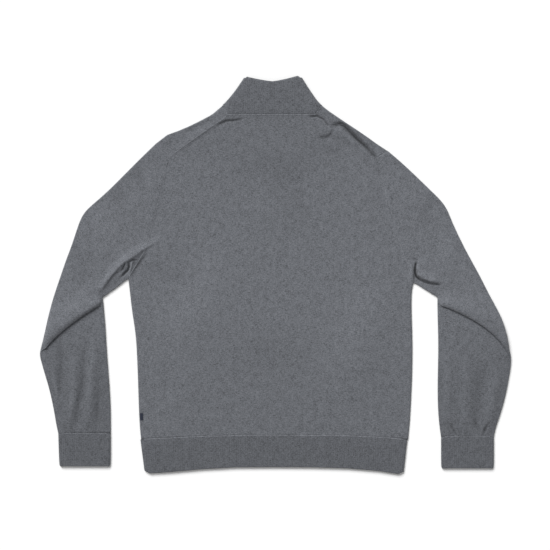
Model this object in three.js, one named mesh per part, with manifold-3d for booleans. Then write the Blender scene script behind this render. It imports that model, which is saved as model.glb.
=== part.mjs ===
// A quarter zip sweater in fine grey knit, laid flat on its front, so its back faces up.
// Lengths are millimetres. X runs to the wearer's right, Y towards the collar, Z up from the surface.
// Two layers lie on each other: the front panel on the surface and the back panel over it.
// The sleeves, cuffs and collar are flattened tubes whose upper and lower layers meet in rounded edges.

import * as THREE from 'three'
import { mergeVertices } from 'three/addons/utils/BufferGeometryUtils.js'
import Module from 'manifold-3d'

const wasm = await Module()
wasm.setup()

// Cloth thicknesses and the spaces between layers
const KNIT = 1.6
const RIB_CLOTH = 2.2
const COLLAR_CLOTH = 3.0
const LAYER_GAP = 2.0
const SEAM_GAP = 0.7
const SLANT_GAP = 0.3
const PIECE_GAP = 0.3
const BODY_LOFT = 1.8
const SLEEVE_LOFT = 1.9
const BODY_DIP = -1.0
const SLEEVE_DIP = -1.5
const SIDE_OVERHANG = 1.1
const FRONT_INSET = 3.6
const BAND_GAP = 2.6

// The body, where air stays between the two panels, and the arm pits, where the side seams end
const HALF_CHEST = 275
const BODY_LOW = -385
const BODY_HIGH = 300
const LOFT_FADE = 120
const ARM_PIT_LEFT = -8
const ARM_PIT_RIGHT = -17
const PIT_FADE = 18

// Raised ribs on the upper side of the hem, cuffs and collar
const RIB_PITCH = 4.5
const RIB_HEIGHT = 0.5

// The neck, where the collar's two thick layers lift the back panel
const NECK_X = -4
const NECK_Y = 330
const NECK_RISE = 3.5
const NECK_REACH_X = 140
const NECK_REACH_Y = 100
const NECK_FADE_START = 0.8
const NECK_FADE_END = 1.5
const FRONT_NECK_DROP = 44
const COLLAR_DIP_CURVE = 1.3
const COLLAR_RIBS = 34

// The zip, hidden under the garment: the slot, tapes, chain, slider and pull tab
const SLOT_HALF_WIDTH = 4.4
const ZIP_TOP = 338
const ZIP_BOTTOM = 112
const ZIP_LIFT = 1.9
const ZIP_LIFT_WIDTH = 26
const ZIP_LIFT_FADE = 35
const TAPE_WIDTH = 11
const TAPE_THICKNESS = 0.6
const TAPE_TAIL = 12
const TAPE_CLIMB = 14
const CHAIN_HALF_WIDTH = 2.6
const CHAIN_THICKNESS = 2.0
const SLIDER_LENGTH = 12
const SLIDER_HALF_WIDTH = 4.0
const SLIDER_THICKNESS = 2.8
const BRIDGE_HALF_WIDTH = 0.9
const BRIDGE_HALF_LENGTH = 3.0
const BRIDGE_LOW = 0.1
const BRIDGE_HIGH = 0.8
const POST_LENGTH = 1.2
const TAB_LENGTH = 24
const TAB_HALF_WIDTH = 3.0
const TAB_THICKNESS = 1.0
const TAB_CORNER = 1.5
const TAB_AXIS_Z = 1.6
const EYE_HALF_WIDTH = 1.3
const EYE_LENGTH = 6
const STOP_HALF_WIDTH = 2.8
const STOP_LENGTH = 3.3
const STOP_THICKNESS = 2.2

// The woven label in the left side seam
const LABEL_THICKNESS = 0.6
const LABEL_INSET = 2.8
const LABEL_LEFT = -271
const LABEL_RIGHT = -265
const LABEL_TOP = -277
const LABEL_BOTTOM = -291

// The side seams below the arms and the armhole seams above them, on the back panel: y, left x, right x
const BACK_SIDES = [
  [-322, -267, 268],
  [-295, -270.4, 271.4],
  [-247, -271.8, 274],
  [-199, -273.4, 276],
  [-151, -275.4, 276.6],
  [-127, -277, 276.2],
  [-103, -280, 275.6],
  [-79, -284, 274.8],
  [-55, -287, 274.4],
  [-31, -289.6, 275],
  [-17, -291, 278],
  [-8, -292, 274],
  [6, -284, 269],
  [20, -275, 265],
  [35, -266, 260],
  [49, -258, 255],
  [75, -250, 247],
  [105, -242, 239],
  [150, -230, 227],
  [185, -221, 217],
  [210, -215, 210],
]

// The shoulder seams, from the armhole to the neck: seam y, then seam x and outline x, y on each side.
// The front panel reaches up to the outline, folds over it and comes down to the seam.
const SHOULDERS = [
  [234, -209, -236, 262, 204, 226, 247],
  [247, -193, -214, 279, 194, 205, 261],
  [260, -175, -192, 287, 180, 187, 274],
  [272, -158, -173, 295, 166, 171, 285],
  [285, -139, -152, 305, 152, 156, 295],
  [298, -121, -129, 317, 139, 139, 306],
  [302, -115, -122.6, 321, 107, 109.5, 326],
  [311, -101, -108.2, 333, 98, 101.8, 332],
  [318.6, -94, -103, 338, 82, 95.8, 337],
]

// The hem band from side to side: a place from -1 to 1, the seam's y, the lower edge's y
const HEM = [
  [-1.0, -330, -392],
  [-0.96, -329, -397],
  [-0.8, -327, -394.5],
  [-0.57, -324, -389],
  [-0.3, -322, -385],
  [0, -321, -384.5],
  [0.3, -322, -385],
  [0.57, -322.5, -387],
  [0.8, -325.5, -392],
  [0.96, -329, -398.5],
  [1.0, -330, -394],
]
const HEM_TOP_LEFT = -267
const HEM_TOP_RIGHT = 265
const HEM_LOW_LEFT = -259
const HEM_LOW_RIGHT = 258

// Stations of the left sleeve: outer x, y, inner x, y, share of the armhole's curve,
// bulge away from the cuff, then the elbow fold's lift and slide towards the cuff.
// The bulge is fullest nearer the outer edge, by a power of the place across the sleeve.
const BULGE_POWER = 0.65
const SLEEVE_LEFT = [
  [-236, 262, -292, -8, 1, 0, 0, 0],
  [-263, 237, -296, -10, 0.8, 0, 0, 0],
  [-295, 205, -301, -14, 0.6, 0, 0, 0],
  [-333, 166, -307, -19, 0.4, 0, 0, 0],
  [-365, 139, -313, -24, 0.25, 0, 0, 0],
  [-383, 122, -319, -29, 0.12, 0, 0, 0],
  [-394, 93, -325, -33, 0, 2, 0, 0],
  [-404, 61, -331, -37, 0, 3, 0, 0],
  [-416, 31, -335, -41, 0, 4, 0, 0],
  [-426, 1, -338, -42, 0, 6, 0, 0],
  [-436, -29, -340, -43.5, 0, 7, 0.3, 0],
  [-445, -59, -342, -45, 0, 8, 1.2, 0],
  [-453, -93, -343, -46, 0, 10, 3.2, 0],
  [-460, -129, -343, -47, 0, 12, 6.0, 2],
  [-466, -152, -343, -48.5, 0, 13, 7.6, 5],
  [-467.4, -160, -343, -50, 0, 13, 5.0, 6.5],
  [-467, -167, -342, -54, 0, 12, 0.8, -4],
  [-461.6, -187, -341, -70, 0, 10, 0.2, 0],
  [-454.5, -211, -338, -100, 0, 7, 0, 0],
  [-448, -235, -336, -141, 0, 3, 0, 0],
  [-443, -259, -333, -181, 0, 1, 0, 0],
  [-439, -280, -329, -231, 0, 0, 0, 0],
  [-436, -300, -327, -275, 0, 0, 0, 0],
  [-432, -317.4, -327, -317.4, 0, 0, 0, 0],
]

// Stations of the right sleeve, with the same columns
const SLEEVE_RIGHT = [
  [226, 247, 278, -17, 1, 0, 0, 0],
  [251, 227, 283, -18, 0.8, 0, 0, 0],
  [283, 197, 289, -22, 0.6, 0, 0, 0],
  [315, 166, 295, -26, 0.4, 1, 0, 0],
  [341, 141, 301, -30, 0.25, 2, 0, 0],
  [351, 117, 306, -33, 0.12, 4, 0, 0],
  [363, 89, 311, -36, 0, 6, 0, 0],
  [379, 57, 315, -39, 0, 9, 0, 0],
  [395, 27, 319, -41, 0, 12, 0, 0],
  [413, -7, 322, -43, 0, 16, 0, 0],
  [429, -43, 324, -44, 0, 20, 0.4, 0],
  [446, -78, 325, -46, 0, 24, 1.4, 0],
  [458.6, -110, 326, -47, 0, 27, 3.2, 0],
  [466.6, -143, 326, -48, 0, 29, 6.0, 2],
  [469, -174, 326, -50, 0, 30, 7.6, 5],
  [469.4, -178, 326, -52, 0, 30, 5.0, 6.5],
  [469.8, -186, 326, -57, 0, 29, 0.8, -4],
  [467, -208, 326, -72, 0, 26, 0.2, 0],
  [462, -236, 327, -105, 0, 20, 0, 0],
  [456, -262, 328, -145, 0, 14, 0, 0],
  [449, -286, 327, -190, 0, 8, 0, 0],
  [444, -301, 326, -240, 0, 4, 0, 0],
  [441, -313, 328, -290, 0, 1, 0, 0],
  [439, -324, 333, -324, 0, 0, 0, 0],
]

// Cuffs: outer and inner x at the seam, seam y, outer and inner x at the end, end y
const CUFF_LEFT = [-432, -327, -318.1, -430, -327, -383]
const CUFF_RIGHT = [439, 333, -324.7, 439, 333, -387]

// The collar's rows, from the neck seam to the top edge: the outline x, y at the left,
// the corner next to it x, y, the middle y, then the corner and the outline at the right.
const COLLAR_ROWS = [
  [-102.4, 338.6, -93.3, 319.6, 319.6, 81.3, 319.6, 95, 337.6],
  [-95.8, 345.5, -87, 332, 331, 76, 332, 87.6, 345],
  [-86, 357, -77, 347, 345, 67, 347, 78.8, 357],
  [-76.8, 369, -69, 362, 359, 60, 362, 70.8, 369],
  [-68.6, 381, -61, 378, 373, 53, 378, 63, 381],
  [-61.4, 391.8, -54.6, 394.6, 385.6, 47, 396.6, 56.2, 392.4],
]

// The largest folds of the upper layer: start x, y, end x, y, half width, height
const FOLDS = [
  [-256, 55, -294, 27, 8, 2.6],
  [-294, 27, -343, -26, 8, 3.6],
  [-306, 0, -334, -30, 7, -1.2],
  [-275, 215, -258, 170, 14, -1.6],
  [-316, 172, -300, 130, 16, -1.4],
  [-225, 60, -262, 20, 12, 1.8],
  [268, 45, 281, 8, 8, 2.2],
  [292, 6, 326, -8, 7, 2.8],
  [282, 20, 282, 2, 5, -1.2],
  [296, 190, 285, 140, 15, 1.4],
  [-423, -150, -427, -235, 9, -1.6],
  [-397, -215, -410, -296, 10, 2.2],
  [-378, -150, -397, -300, 9, -1.5],
  [-360, -150, -374, -298, 9, 1.8],
  [-440, -200, -428, -305, 8, 1.8],
  [440, -215, 428, -300, 12, 2.2],
  [412, -190, 408, -290, 10, -1.5],
  [385, -170, 380, -290, 14, 2.0],
  [350, -150, 346, -285, 12, 1.5],
  [-190, -150, -120, -60, 40, 1.0],
  [120, -200, 190, -80, 45, 1.0],
]

const COLOURS = {
  knit: 0x6f7075,
  rib: 0x5f6064,
  tape: 0x4c4e53,
  metal: 0x9a9ca0,
  label: 0x1d2740,
}

const clamp = (value) => Math.min(1, Math.max(0, value))
const smooth = (value) => clamp(value) * clamp(value) * (3 - 2 * clamp(value))
const mix = (a, b, share) => a + (b - a) * share

// A value between the rows of a table whose first column rises or falls
function lookUp(table, key, column) {
  for (let i = 1; i < table.length; i += 1) {
    const [low, high] = [table[i - 1], table[i]]
    if ((key - low[0]) * (key - high[0]) <= 0) {
      return mix(low[column], high[column], (key - low[0]) / (high[0] - low[0]))
    }
  }
  const first = Math.abs(key - table[0][0]) < Math.abs(key - table.at(-1)[0])
  return first ? table[0][column] : table.at(-1)[column]
}

// The height that the folds add to the upper layer
function foldHeight(x, y) {
  let height = 0
  for (const [x1, y1, x2, y2, width, rise] of FOLDS) {
    const length = Math.hypot(x2 - x1, y2 - y1)
    const along = ((x - x1) * (x2 - x1) + (y - y1) * (y2 - y1)) / length
    const across = ((x - x1) * (y2 - y1) - (y - y1) * (x2 - x1)) / length
    const past = Math.max(0, -along, along - length)
    height += rise * Math.exp(-((across / width) ** 2) - (past / (1.5 * width)) ** 2)
  }
  return height
}

// How far the collar's thick layers, and below them the zip, lift the back
function neckLift(x, y) {
  const reach = Math.hypot((x - NECK_X) / NECK_REACH_X, (y - NECK_Y) / NECK_REACH_Y)
  const neck = NECK_RISE * smooth((NECK_FADE_END - reach) / (NECK_FADE_END - NECK_FADE_START))
  const onZip = smooth((y - ZIP_BOTTOM + ZIP_LIFT_FADE) / ZIP_LIFT_FADE)
  const zip = ZIP_LIFT * Math.exp(-(((x - NECK_X) / ZIP_LIFT_WIDTH) ** 2)) * onZip
  return Math.max(neck, zip)
}

// The underside of the upper layer
const upperLayer = (x, y) => LAYER_GAP + neckLift(x, y)

// A closed wall of even thickness on a grid of centre points, in rows. Rings close across their rows.
// Its outer side is up where the points go to the right and the rows go up the garment.
function wall(rows, thickness, isRing = false, raise = () => 0) {
  const rowCount = rows.length
  const columnCount = rows[0].length
  const at = (i, j) => rows[i][isRing ? (j + columnCount) % columnCount : Math.min(Math.max(j, 0), columnCount - 1)]
  const outer = []
  const inner = []
  for (let i = 0; i < rowCount; i += 1) {
    for (let j = 0; j < columnCount; j += 1) {
      const along = at(Math.min(i + 1, rowCount - 1), j).clone().sub(at(Math.max(i - 1, 0), j))
      const across = at(i, j + 1).clone().sub(at(i, j - 1))
      const normal = across.cross(along).normalize()
      const outside = rows[i][j].clone().addScaledVector(normal, thickness / 2 + raise(i, j))
      const inside = rows[i][j].clone().addScaledVector(normal, -thickness / 2)
      outer.push(outside.x, outside.y, Math.max(outside.z, 0))
      inner.push(inside.x, inside.y, Math.max(inside.z, 0))
    }
  }
  const shift = rowCount * columnCount
  const faces = []
  const quad = (a, b, c, d) => faces.push(a, b, c, a, c, d)
  const lastColumn = isRing ? columnCount : columnCount - 1
  for (let i = 0; i < rowCount - 1; i += 1) {
    for (let j = 0; j < lastColumn; j += 1) {
      const next = (j + 1) % columnCount
      const [a, b] = [i * columnCount + j, i * columnCount + next]
      const [c, d] = [b + columnCount, a + columnCount]
      quad(a, b, c, d)
      quad(a + shift, d + shift, c + shift, b + shift)
    }
  }
  for (let j = 0; j < lastColumn; j += 1) {
    const next = (j + 1) % columnCount
    const last = (rowCount - 1) * columnCount
    quad(j, j + shift, next + shift, next)
    quad(last + j, last + next, last + next + shift, last + j + shift)
  }
  if (!isRing) {
    for (let i = 0; i < rowCount - 1; i += 1) {
      const [left, leftUp] = [i * columnCount, (i + 1) * columnCount]
      const [right, rightUp] = [left + columnCount - 1, leftUp + columnCount - 1]
      quad(left, leftUp, leftUp + shift, left + shift)
      quad(right, right + shift, rightUp + shift, rightUp)
    }
  }
  return closedBody([...outer, ...inner], faces)
}

// A geometry from its points and faces, turned so that its faces point out
function closedBody(points, faces) {
  const corner = (index) => new THREE.Vector3().fromArray(points, 3 * index)
  let volume = 0
  for (let i = 0; i < faces.length; i += 3) {
    volume += corner(faces[i]).dot(corner(faces[i + 1]).cross(corner(faces[i + 2])))
  }
  const geometry = new THREE.BufferGeometry()
  geometry.setAttribute('position', new THREE.Float32BufferAttribute(points, 3))
  geometry.setIndex(volume > 0 ? faces : faces.toReversed())
  return geometry
}

function toSolid(geometry) {
  const bare = geometry.clone()
  bare.deleteAttribute('normal')
  bare.deleteAttribute('uv')
  const merged = mergeVertices(bare, 1e-4)
  return new wasm.Manifold(
    new wasm.Mesh({
      numProp: 3,
      vertProperties: new Float32Array(merged.attributes.position.array),
      triVerts: new Uint32Array(merged.index.array),
    }),
  )
}

function fromSolid(solid) {
  const mesh = solid.getMesh()
  const geometry = new THREE.BufferGeometry()
  geometry.setAttribute('position', new THREE.BufferAttribute(new Float32Array(mesh.vertProperties), 3))
  geometry.setIndex(Array.from(mesh.triVerts))
  return geometry
}

const join = (...geometries) => fromSolid(geometries.map(toSolid).reduce((sum, solid) => sum.add(solid)))

// A flat plate with the plan of a list of points
function plate(points, bottom, thickness) {
  const shape = new THREE.Shape(points.map(([x, y]) => new THREE.Vector2(x, y)))
  const geometry = new THREE.ExtrudeGeometry(shape, { depth: thickness, bevelEnabled: false })
  return geometry.translate(0, 0, bottom)
}

function block(x1, x2, y1, y2, z1, z2) {
  const geometry = new THREE.BoxGeometry(x2 - x1, y2 - y1, z2 - z1)
  return geometry.translate((x1 + x2) / 2, (y1 + y2) / 2, (z1 + z2) / 2)
}

// Places from one side of a panel to the other, close together at the sides
const PANEL_INSETS = [0, 1.3, 3.2]
const PANEL_SHARES = [0.04, 0.09, 0.16, 0.24, 0.32, 0.4, 0.46, 0.54, 0.6, 0.68, 0.76, 0.84, 0.91, 0.96]
const SIDE_DROP = [1.5, 0.5, 0]

// A row of centre points across the upper layer, turned down at the sides by a share of the drop
function upperRow(left, right, yAt, thickness, drop) {
  const xs = [
    ...PANEL_INSETS.map((inset) => left + inset),
    ...PANEL_SHARES.map((share) => mix(left, right, share)),
    ...PANEL_INSETS.toReversed().map((inset) => right - inset),
  ]
  const drops = [...SIDE_DROP, ...PANEL_SHARES.map(() => 0), ...SIDE_DROP.toReversed()]
  return xs.map((x, j) => {
    const y = yAt(x)
    const fold = Math.max(foldHeight(x, y), BODY_DIP)
    return new THREE.Vector3(x, y, upperLayer(x, y) + bodyLoft(x, y) + thickness / 2 + fold - drop * drops[j])
  })
}

// The air that stays between the two panels, most in the middle of the body
function bodyLoft(x, y) {
  const across = smooth((HALF_CHEST - Math.abs(x)) / LOFT_FADE)
  const along = smooth((y - BODY_LOW) / LOFT_FADE) * smooth((BODY_HIGH - y) / LOFT_FADE)
  return BODY_LOFT * across * along
}

const hemSeam = (x) => lookUp(HEM, clamp((x - HEM_TOP_LEFT) / (HEM_TOP_RIGHT - HEM_TOP_LEFT)) * 2 - 1, 1)

// From 0 at the arm pits to 1 a little below them
const belowPit = (y) => smooth((ARM_PIT_LEFT - y) / PIT_FADE)

// The rows of the back panel: the hem seam, the sides, then the shoulders up to the neck.
// The shoulder seams run aslant, so their rows keep a little more room.
function backPanel() {
  const inset = SEAM_GAP / 2
  const rows = BACK_SIDES.map(([y, left, right]) => {
    const drop = belowPit(y)
    const seam = mix(inset, SIDE_OVERHANG, drop)
    const yAt = (x) => (y === BACK_SIDES[0][0] ? hemSeam(x) + inset : y)
    return upperRow(left + seam, right - seam, yAt, KNIT, drop)
  })
  for (const [y, left, , , right] of SHOULDERS) {
    const room = inset + SLANT_GAP
    rows.push(upperRow(left + room, right - room, () => y, KNIT, 0))
  }
  return wall(rows, KNIT)
}

// The part of the front panel that folds over one shoulder and comes down to the seam on the back
function shoulderFold(seamColumn, outlineColumn) {
  const hidden = 5
  const arcSteps = 4
  const topSteps = [0.25, 0.6, 1]
  const rows = SHOULDERS.map((row) => {
    const seam = new THREE.Vector2(row[seamColumn], row[0])
    const edge = new THREE.Vector2(row[outlineColumn], row[outlineColumn + 1])
    const inwards = seam.clone().sub(edge)
    const width = inwards.length()
    inwards.normalize()
    const radius = upperLayer(edge.x, edge.y) / 2
    const start = KNIT / 2 + radius
    const point = (distance, z) => new THREE.Vector3(edge.x + inwards.x * distance, edge.y + inwards.y * distance, z)
    const points = [point(start + hidden, KNIT / 2)]
    for (let step = 0; step <= arcSteps; step += 1) {
      const angle = (Math.PI * step) / arcSteps
      points.push(point(start - radius * Math.sin(angle), KNIT / 2 + radius * (1 - Math.cos(angle))))
    }
    for (const share of topSteps) {
      const distance = mix(start, width - SEAM_GAP / 2, share)
      const place = point(distance, 0)
      const loft = bodyLoft(place.x, place.y) * share
      place.z = mix(2 * radius, upperLayer(place.x, place.y), share) + KNIT / 2 + loft
      points.push(place)
    }
    return points
  })
  return wall(rows, KNIT)
}

// Places from the shoulder to the zip along the front's neck
const FRONT_SHARES = [0.12, 0.3, 0.5, 0.7, 0.85, 1]

// The front panel's lower layer, with its neck and the slot for the zip
function frontPlan() {
  const sideInset = (y) => mix(SEAM_GAP, FRONT_INSET, belowPit(y))
  const right = BACK_SIDES.map(([y, , x]) => [x - sideInset(y), y])
  const left = BACK_SIDES.map(([y, x]) => [x + sideInset(y), y])
  right[0][1] = hemSeam(right[0][0]) + SEAM_GAP
  left[0][1] = hemSeam(left[0][0]) + SEAM_GAP
  const overEdge = (x, y, seamX, seamY) => {
    const length = Math.hypot(seamX - x, seamY - y)
    return [x + ((seamX - x) * FRONT_INSET) / length, y + ((seamY - y) * FRONT_INSET) / length]
  }
  const rightShoulder = SHOULDERS.map(([y, , , , seamX, x, edgeY]) => overEdge(x, edgeY, seamX, y))
  const leftShoulder = SHOULDERS.map(([y, seamX, x, edgeY]) => overEdge(x, edgeY, seamX, y))
  const neck = (start) => {
    const points = []
    for (const share of FRONT_SHARES) {
      const edgeX = NECK_X + Math.sign(start[0] - NECK_X) * SLOT_HALF_WIDTH
      points.push([mix(start[0], edgeX, share), frontNeck(start[1], share) - SEAM_GAP])
    }
    return points
  }
  const rightNeck = neck([COLLAR_ROWS[0][7], COLLAR_ROWS[0][8]])
  const leftNeck = neck([COLLAR_ROWS[0][0], COLLAR_ROWS[0][1]])
  const hem = [0.6, 0.2, -0.2, -0.6].map((share) => {
    const x = HEM_TOP_RIGHT * share
    return [x, hemSeam(x) + SEAM_GAP]
  })
  return [
    ...right,
    ...rightShoulder,
    ...rightNeck,
    [NECK_X + SLOT_HALF_WIDTH, ZIP_BOTTOM - 4],
    [NECK_X - SLOT_HALF_WIDTH, ZIP_BOTTOM - 4],
    ...leftNeck.toReversed(),
    ...leftShoulder.toReversed(),
    ...left.toReversed(),
    ...hem.toReversed(),
  ]
}

// The seam between the collar and the front panel dips from the shoulder to the zip
const frontNeck = (startY, share) => mix(startY, COLLAR_ROWS[0][4] - FRONT_NECK_DROP, Math.sin((Math.PI / 2) * share))

function frontPanel() {
  return join(plate(frontPlan(), 0, KNIT), shoulderFold(1, 2), shoulderFold(4, 5))
}

// Places across a sleeve's upper layer, from the outer edge to the inner one, close at the inner edge
const SLEEVE_SHARES = [0, 0.05, 0.1, 0.15, 0.24, 0.36, 0.52, 0.66, 0.77, 0.86, 0.94, 1]
const SLEEVE_UNDER_SHARES = [1, 0.66, 0.36, 0]

// How far from a sleeve's edges its folds and its loft reach their full height, as shares of its width
const OUTER_FADE = 0.12
const INNER_FADE = 0.06
const LOFT_SHARE = 0.3

// The armhole seam on one side, from the shoulder outline to the arm pit
function armhole(seamColumn, sideColumn, outlineColumn, pit) {
  const [top] = SHOULDERS
  const points = [new THREE.Vector2(top[outlineColumn], top[outlineColumn + 1]), new THREE.Vector2(top[seamColumn], top[0])]
  for (const row of BACK_SIDES.toReversed()) {
    if (row[0] >= pit) points.push(new THREE.Vector2(row[sideColumn], row[0]))
  }
  return points
}

// A point at a share of the length of a line of points
function alongLine(points, share) {
  const lengths = points.map((point, i) => (i ? point.distanceTo(points[i - 1]) : 0))
  let rest = share * lengths.reduce((sum, length) => sum + length)
  for (let i = 1; i < points.length; i += 1) {
    if (rest <= lengths[i] || i === points.length - 1) {
      return points[i - 1].clone().lerp(points[i], Math.min(1, rest / lengths[i]))
    }
    rest -= lengths[i]
  }
}

// The armhole's corner, where the shoulder seam meets it, lies at this share of its way
const CORNER_SHARE = 0.105

function onArmhole([top, ...rest], share) {
  if (share < CORNER_SHARE) return top.clone().lerp(rest[0], share / CORNER_SHARE)
  return alongLine(rest, (share - CORNER_SHARE) / (1 - CORNER_SHARE))
}

// A flattened tube through stations, each a chord from the outer edge to the inner one
function sleeve(stations, seam, side) {
  const rows = stations.map(([outerX, outerY, innerX, innerY, curve, bulge, lift, slide]) => {
    const chord = new THREE.Vector2(innerX - outerX, innerY - outerY)
    const width = chord.length()
    chord.divideScalar(width)
    const away = new THREE.Vector2(-chord.y * side, chord.x * side)
    const radius = LAYER_GAP / 2
    const end = radius + KNIT / 2
    const point = (distance, z, lifted) => {
      const share = clamp(distance / width)
      const onSeam = onArmhole(seam, share)
      const onChord = seam[0].clone().lerp(seam.at(-1), share)
      const window = smooth(share / OUTER_FADE) * smooth((1 - share) / INNER_FADE)
      const skewed = share ** BULGE_POWER
      const bulged = bulge * 4 * skewed * (1 - skewed)
      const shift = bulged - (lifted ? slide * window : 0) - (curve === 1 ? SEAM_GAP : 0)
      const x = outerX + chord.x * distance + away.x * shift + curve * (onSeam.x - onChord.x)
      const y = outerY + chord.y * distance + away.y * shift + curve * (onSeam.y - onChord.y)
      const soft = window * smooth(share / LOFT_SHARE) * smooth((1 - share) / LOFT_SHARE)
      const fold = Math.max(foldHeight(x, y), SLEEVE_DIP)
      const height = lifted ? lift * window + SLEEVE_LOFT * soft + fold * window + neckLift(x, y) : 0
      return new THREE.Vector3(x, y, z + height)
    }
    const points = []
    for (const share of SLEEVE_SHARES) points.push(point(mix(end, width - end, share), LAYER_GAP + KNIT / 2, true))
    for (const angle of [45, 90, 135]) {
      const turn = THREE.MathUtils.degToRad(angle)
      points.push(point(width - end + radius * Math.sin(turn), end + radius * Math.cos(turn), false))
    }
    for (const share of SLEEVE_UNDER_SHARES) points.push(point(mix(end, width - end, share), KNIT / 2, false))
    for (const angle of [135, 90, 45]) {
      const turn = THREE.MathUtils.degToRad(angle)
      points.push(point(end - radius * Math.sin(turn), end + radius * Math.cos(turn), false))
    }
    return points
  })
  return wall(rows, KNIT, true)
}

// Rows down a rib band, as shares of its height, and for a cuff how far each is drawn in at its corners.
// The ribs rise between the two edges.
const BAND_ROWS = [0, 0.07, 0.93, 1]
const CUFF_ROWS = [
  [0, 0],
  [0.07, 0],
  [0.93, 0],
  [0.975, 0.8],
  [1, 2.8],
]
const isRibRow = (i, rows) => i > 0 && i < rows.length - 1

// A cuff: a flattened rib tube, raised in ribs on its upper side
function cuff([outerTop, innerTop, topY, outerLow, innerLow, lowY]) {
  const ribs = Math.round(Math.abs(innerTop - outerTop) / RIB_PITCH)
  const upperCount = 2 * ribs + 1
  const radius = BAND_GAP / 2
  const end = radius + RIB_CLOTH / 2
  const rows = CUFF_ROWS.map(([down, rounding]) => {
    const outer = mix(outerTop, outerLow, down)
    const inner = mix(innerTop, innerLow, down)
    const way = Math.sign(inner - outer)
    const y = mix(topY, lowY, down)
    const points = []
    const width = Math.abs(inner - outer) - 2 * rounding
    const x = (distance) => outer + way * (distance + rounding)
    for (let j = 0; j < upperCount; j += 1) {
      const share = j / (upperCount - 1)
      points.push(new THREE.Vector3(x(mix(end, width - end, share)), y, end + radius))
    }
    for (const angle of [45, 90, 135]) {
      const turn = THREE.MathUtils.degToRad(angle)
      points.push(new THREE.Vector3(x(width - end + radius * Math.sin(turn)), y, end + radius * Math.cos(turn)))
    }
    for (const share of [1, 0.5, 0]) points.push(new THREE.Vector3(x(mix(end, width - end, share)), y, RIB_CLOTH / 2))
    for (const angle of [135, 90, 45]) {
      const turn = THREE.MathUtils.degToRad(angle)
      points.push(new THREE.Vector3(x(end - radius * Math.sin(turn)), y, end + radius * Math.cos(turn)))
    }
    return points
  })
  const raise = (i, j) => (j < upperCount && j % 2 === 1 && isRibRow(i, CUFF_ROWS) ? RIB_HEIGHT : 0)
  return wall(outerTop < innerTop ? rows.toReversed() : rows, RIB_CLOTH, true, raise)
}

// The hem band on the back, raised in ribs
function hemBack() {
  const ribs = Math.round((HEM_TOP_RIGHT - HEM_TOP_LEFT) / RIB_PITCH)
  const count = 2 * ribs
  const rows = BAND_ROWS.map((down) => {
    const points = []
    const left = mix(HEM_TOP_LEFT, HEM_LOW_LEFT, down)
    const right = mix(HEM_TOP_RIGHT, HEM_LOW_RIGHT, down)
    for (let j = 0; j <= count; j += 1) {
      const share = j / count
      const place = 2 * share - 1
      const x = mix(left, right, share)
      const y = mix(lookUp(HEM, place, 1) - SEAM_GAP / 2, lookUp(HEM, place, 2), down)
      const side = Math.min(j, count - j)
      const drop = side < SIDE_DROP.length ? SIDE_DROP[side] : 0
      points.push(new THREE.Vector3(x, y, BAND_GAP + RIB_CLOTH / 2 - drop))
    }
    return points
  })
  const raise = (i, j) => (j % 2 === 1 && j > 1 && j < count - 1 && isRibRow(i, BAND_ROWS) ? RIB_HEIGHT : 0)
  return wall(rows.toReversed(), RIB_CLOTH, false, raise)
}

// The hem band on the front, flat on the surface and a little smaller than the one on the back
function hemFront() {
  const inset = 4
  const lowInset = 1.5
  const upper = []
  const lower = []
  for (const [place, seamY, lowY] of HEM) {
    const share = (place + 1) / 2
    upper.push([mix(HEM_TOP_LEFT + inset, HEM_TOP_RIGHT - inset, share), seamY - SEAM_GAP])
    lower.push([mix(HEM_LOW_LEFT + inset, HEM_LOW_RIGHT - inset, share), lowY + lowInset])
  }
  return plate([...lower, ...upper.toReversed()], 0, RIB_CLOTH)
}

// Angles round the collar's rounded side edges, from the lower layer to the upper one
const EDGE_ANGLES = [180, 135, 90, 45, 0]

// The stand collar: one doubled rib band, open at the middle of the front
function collar() {
  const radius = (LAYER_GAP + NECK_RISE) / 2
  const end = radius + COLLAR_CLOTH / 2
  const upperCount = 2 * COLLAR_RIBS + 1
  const side = (edgeX, edgeY, cornerX, middleY) => {
    const way = Math.sign(NECK_X - edgeX)
    const front = FRONT_SHARES.map((share) => {
      const x = mix(edgeX, NECK_X - way * SLOT_HALF_WIDTH, share)
      const y = mix(edgeY, middleY - FRONT_NECK_DROP, Math.sin((Math.PI / 2) * share))
      return new THREE.Vector3(x, y, COLLAR_CLOTH / 2)
    })
    const inwards = new THREE.Vector2(way * Math.abs(cornerX - edgeX), 0).normalize()
    const arc = EDGE_ANGLES.map((angle) => {
      const turn = THREE.MathUtils.degToRad(angle)
      const reach = end - radius * Math.sin(turn)
      return new THREE.Vector3(edgeX + inwards.x * reach, edgeY, end + radius * Math.cos(turn))
    })
    return [...front.toReversed(), ...arc]
  }
  const rows = COLLAR_ROWS.map(([leftX, leftY, cornerLeftX, cornerLeftY, middleY, cornerRightX, cornerRightY, rightX, rightY]) => {
    const back = []
    for (let j = 0; j < upperCount; j += 1) {
      const share = j / (upperCount - 1)
      const place = 2 * share - 1
      const cornerY = place < 0 ? cornerLeftY : cornerRightY
      const y = mix(middleY, cornerY, Math.abs(place) ** COLLAR_DIP_CURVE)
      back.push(new THREE.Vector3(mix(cornerLeftX, cornerRightX, share), y, end + radius))
    }
    const leftSide = side(leftX, leftY, cornerLeftX, middleY)
    const rightSide = side(rightX, rightY, cornerRightX, middleY)
    return [...leftSide, ...back, ...rightSide.toReversed()]
  })
  const first = FRONT_SHARES.length + EDGE_ANGLES.length
  const raise = (i, j) => {
    const rib = j - first
    return rib >= 0 && rib < upperCount && rib % 2 === 1 && i > 0 && i < COLLAR_ROWS.length - 1 ? RIB_HEIGHT : 0
  }
  return wall(rows, COLLAR_CLOTH, false, raise)
}

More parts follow.
